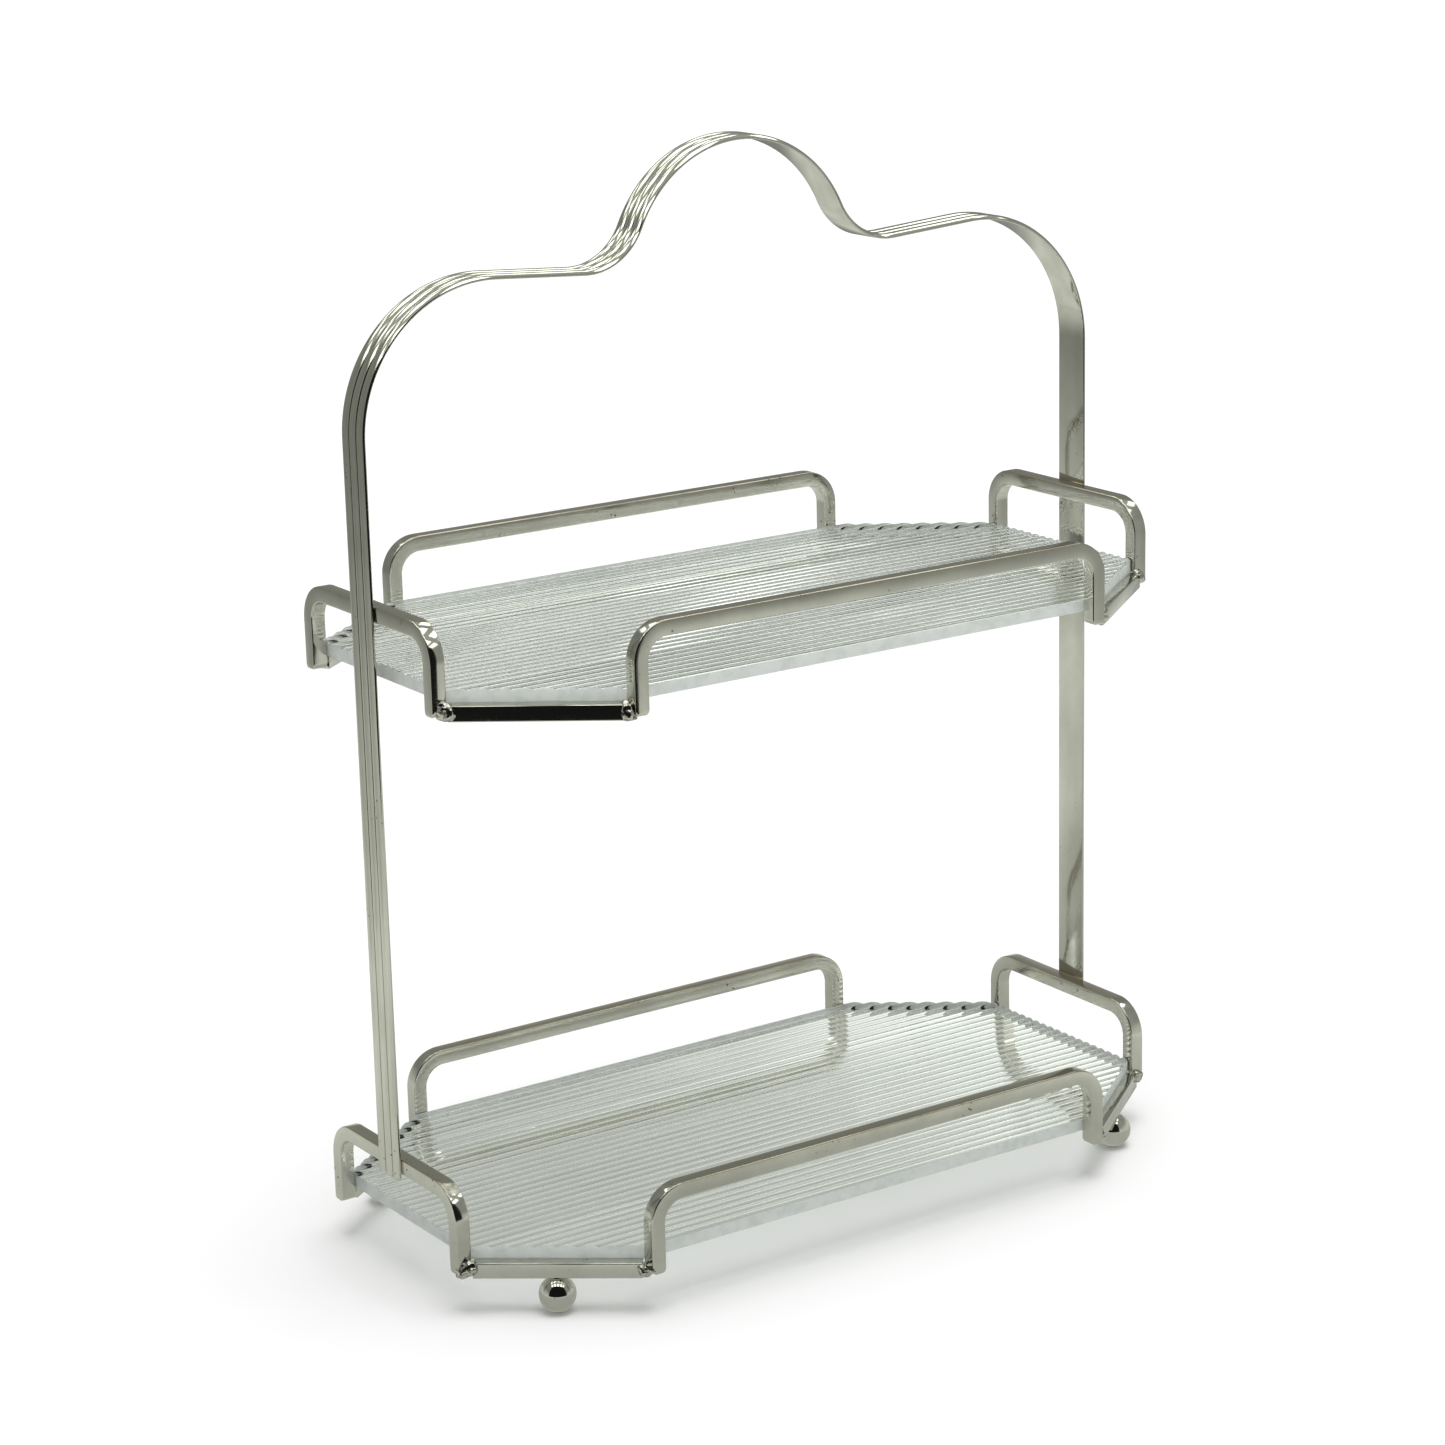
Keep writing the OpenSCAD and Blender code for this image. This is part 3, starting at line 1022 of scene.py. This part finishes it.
# ---- floor, light tent and lamps

studio = {
    "floorSize": 40,  # metres
    "floorColor": (0.93, 0.93, 0.93, 1),
    "sky": 0.55,  # light that the white room throws on the floor
    "backdrop": 1.06,
    "darkRoom": 0.02,  # what polished metal sees past the tent
    "tentHalf": 0.42,
    "tentFront": -0.39,  # the tent's open side, towards the camera
    "tentHeight": 0.62,
    "cloth": (0.60, 0.625, 0.575, 1),
    "leftWall": (0.35, 0.5),  # brightness of each side, and what is added to it at its foot
    "rightWall": (0.46, 0.45),
    "backWall": (0.38, 0.6),
    "wallFoot": 0.2,  # metres over which a wall's foot fades out
    "ceiling": 0.62,
    "evening": 0.5,  # share of its own light that the cloth keeps where it is seen through a panel
    "haze": 0.56,  # light added to it there
    "hazeLift": 2.8,  # and more of it low on the walls
    "underStand": 0.78,  # brightness of the cloth in the stand's own shade
    "openCloth": 1.15,  # and clear of it
    "shadeFrom": 0.12,
    "shadeTo": 0.28,
    "glow": 3.1,  # brightness of the lamp panels under the ceiling
    "glowFrom": 0.55,  # metres up, where the glow starts
    "glowTo": 0.61,  # and where it is full
    "panelsAcross": (0.2, 0.6),  # pitch of the lamp panels, and the lit share of it
    "panelsBack": (0.3, 0.6),
    "lampPitch": 22 * mm,  # of the lines of lamps in a panel
    "lamp": 1.0,  # what a line adds to its panel
}


def addFloor():
    bm = bmesh.new()
    bmesh.ops.create_grid(bm, x_segments=1, y_segments=1, size=studio["floorSize"] / 2)
    mesh = bpy.data.meshes.new("floor")
    bm.to_mesh(mesh)
    bm.free()
    floor = bpy.data.objects.new("floor", mesh)
    scene.collection.objects.link(floor)
    material, tree, shader = startMaterial("paleFloor")
    setInputs(shader, Base_Color=studio["floorColor"], Roughness=0.9, Specular_IOR_Level=0.0)
    mesh.materials.append(material)
    # the tent's own floor is what the metal and the panels see
    floor.visible_glossy = False
    floor.visible_transmission = False


def addTent():
    # a small light tent, seen only in reflections and through the panels, open towards the camera
    bm = bmesh.new()
    bmesh.ops.create_cube(bm, size=1)
    half, near, height = studio["tentHalf"], studio["tentFront"], studio["tentHeight"]
    middle = (0, (half + near) / 2, height / 2 + 0.0002)
    bmesh.ops.transform(bm, verts=bm.verts, matrix=Matrix.Translation(middle)
                        @ Matrix.Diagonal((2 * half, half - near, height, 1)))
    front = [face for face in bm.faces if face.normal.y < -0.5]
    bmesh.ops.delete(bm, geom=front, context="FACES")
    bmesh.ops.rotate(bm, verts=bm.verts, cent=(0, 0, 0),
                     matrix=Matrix.Rotation(math.radians(-cameraSpot["yaw"]), 3, "Z"))
    mesh = bpy.data.meshes.new("lightTent")
    bm.to_mesh(mesh)
    bm.free()
    tent = bpy.data.objects.new("lightTent", mesh)
    scene.collection.objects.link(tent)
    mesh.materials.append(tentMaterial())
    tent.visible_camera = False
    tent.visible_diffuse = False
    tent.visible_shadow = False


def tentMaterial():
    material, tree, shader = startMaterial("tentCloth")
    tree.nodes.remove(shader)
    spot = addNode(tree, "ShaderNodeTexCoord")
    square = addNode(tree, "ShaderNodeMapping")
    square.inputs["Rotation"].default_value[2] = math.radians(cameraSpot["yaw"])
    feed(tree, spot.outputs["Object"], square.inputs["Vector"])
    axes = addNode(tree, "ShaderNodeSeparateXYZ")
    feed(tree, square.outputs[0], axes.inputs[0])
    across, back, up = axes.outputs
    half, height = studio["tentHalf"] - 0.001, studio["tentHeight"] - 0.001
    aboveFloor = mathNode(tree, "GREATER_THAN", up, 0.001)
    foot = rangeNode(tree, up, 0.0, studio["wallFoot"], 1.0, 0.0)
    shade = 1.0
    for axis, compare, limit, side in ((across, "LESS_THAN", -half, "leftWall"),
                                       (across, "GREATER_THAN", half, "rightWall"),
                                       (back, "GREATER_THAN", half, "backWall")):
        onSide = mathNode(tree, "MULTIPLY", mathNode(tree, compare, axis, limit), aboveFloor)
        level, gain = studio[side]
        change = mathNode(tree, "ADD", mathNode(tree, "MULTIPLY", foot, gain), level - 1)
        shade = mathNode(tree, "ADD", mathNode(tree, "MULTIPLY", onSide, change), shade)
    distance = addNode(tree, "ShaderNodeVectorMath", operation="LENGTH")
    feed(tree, square.outputs[0], distance.inputs[0])
    under = rangeNode(tree, distance.outputs["Value"], studio["shadeFrom"], studio["shadeTo"],
                      studio["underStand"], studio["openCloth"])
    shade = mathNode(tree, "MULTIPLY", shade, under)
    # slack cloth is never quite even
    slack = setInputs(addNode(tree, "ShaderNodeTexNoise"), Scale=6.0, Detail=2.0)
    feed(tree, spot.outputs["Object"], slack.inputs["Vector"])
    uneven = rangeNode(tree, slack.outputs["Fac"], 0.3, 0.7, 0.9, 1.1)
    shade = mathNode(tree, "MULTIPLY", shade, uneven)
    ceiling = mathNode(tree, "GREATER_THAN", up, height)
    dim = mathNode(tree, "ADD", mathNode(tree, "MULTIPLY", ceiling, studio["ceiling"] - 1), 1.0)
    shade = mathNode(tree, "MULTIPLY", shade, dim)
    glow = rangeNode(tree, up, studio["glowFrom"], studio["glowTo"], 0.0, studio["glow"])
    # rows of lamp panels, each with lines of lamps
    rows = []
    for axis, side in ((across, "panelsAcross"), (back, "panelsBack")):
        pitch, share = studio[side]
        shifted = mathNode(tree, "ADD", mathNode(tree, "DIVIDE", axis, pitch), 0.5 * share)
        rows.append(mathNode(tree, "LESS_THAN", mathNode(tree, "FRACT", shifted), share))
    panel = mathNode(tree, "MULTIPLY", rows[0], rows[1])
    glow = mathNode(tree, "MULTIPLY", glow, panel)
    beat = mathNode(tree, "FRACT", mathNode(tree, "DIVIDE", across, studio["lampPitch"]))
    stripe = mathNode(tree, "LESS_THAN", beat, 0.5)
    lit = mathNode(tree, "MULTIPLY", stripe, mathNode(tree, "MULTIPLY", panel, ceiling))
    bright = mathNode(tree, "ADD", glow, mathNode(tree, "MULTIPLY", lit, studio["lamp"]))
    strength = mathNode(tree, "ADD", shade, bright)
    # through the panels the cloth runs into the white background
    path = addNode(tree, "ShaderNodeLightPath")
    through = mathNode(tree, "GREATER_THAN", path.outputs["Transmission Depth"], 0.5)
    kept = mathNode(tree, "MULTIPLY", strength, studio["evening"])
    evened = mathNode(tree, "ADD", kept, studio["haze"])
    lift = mathNode(tree, "MULTIPLY", mathNode(tree, "MULTIPLY", foot, aboveFloor), studio["hazeLift"])
    evened = mathNode(tree, "ADD", evened, lift)
    gain = mathNode(tree, "MULTIPLY", mathNode(tree, "SUBTRACT", evened, strength), through)
    strength = mathNode(tree, "ADD", strength, gain)
    emit = setInputs(addNode(tree, "ShaderNodeEmission"), Color=studio["cloth"])
    feed(tree, strength, emit.inputs["Strength"])
    feed(tree, emit.outputs[0], tree.nodes["Material Output"].inputs["Surface"])
    return material


def addRoom():
    # white behind the stand and on the floor; polished metal sees only the dark room behind the camera
    world = bpy.data.worlds.new("room")
    scene.world = world
    world.use_nodes = True
    tree = world.node_tree
    white = tree.nodes["Background"]
    path = addNode(tree, "ShaderNodeLightPath")
    seen = mathNode(tree, "MAXIMUM", path.outputs["Is Camera Ray"],
                    mathNode(tree, "GREATER_THAN", path.outputs["Transmission Depth"], 0.5))
    setInputs(white, Color=(1, 1, 1, 1))
    strength = rangeNode(tree, seen, 0.0, 1.0, studio["sky"], studio["backdrop"])
    feed(tree, strength, white.inputs["Strength"])
    dark = setInputs(addNode(tree, "ShaderNodeBackground"), Color=(0.5, 0.5, 0.48, 1),
                     Strength=studio["darkRoom"])
    notThrough = mathNode(tree, "LESS_THAN", path.outputs["Transmission Depth"], 0.5)
    reflected = mathNode(tree, "MULTIPLY", path.outputs["Is Glossy Ray"], notThrough)
    choose = addNode(tree, "ShaderNodeMixShader")
    feed(tree, reflected, choose.inputs["Fac"])
    feed(tree, white.outputs[0], choose.inputs[1])
    feed(tree, dark.outputs[0], choose.inputs[2])
    feed(tree, choose.outputs[0], tree.nodes["World Output"].inputs["Surface"])


softLight = {
    "from": (0.09, -0.05, 1.0),  # direction that the overhead light comes from
    "spread": 44,  # degrees
    "strength": 1.95,
}


def addLamp():
    data = bpy.data.lights.new("overhead", "SUN")
    data.angle = math.radians(softLight["spread"])
    data.energy = softLight["strength"]
    light = bpy.data.objects.new("overhead", data)
    scene.collection.objects.link(light)
    light.rotation_euler = Vector(softLight["from"]).to_track_quat("Z", "Y").to_euler()
    light.visible_glossy = False
    light.visible_transmission = False


addFloor()
addTent()
addRoom()
addLamp()
scene.view_settings.view_transform = "Standard"
print("studio set")
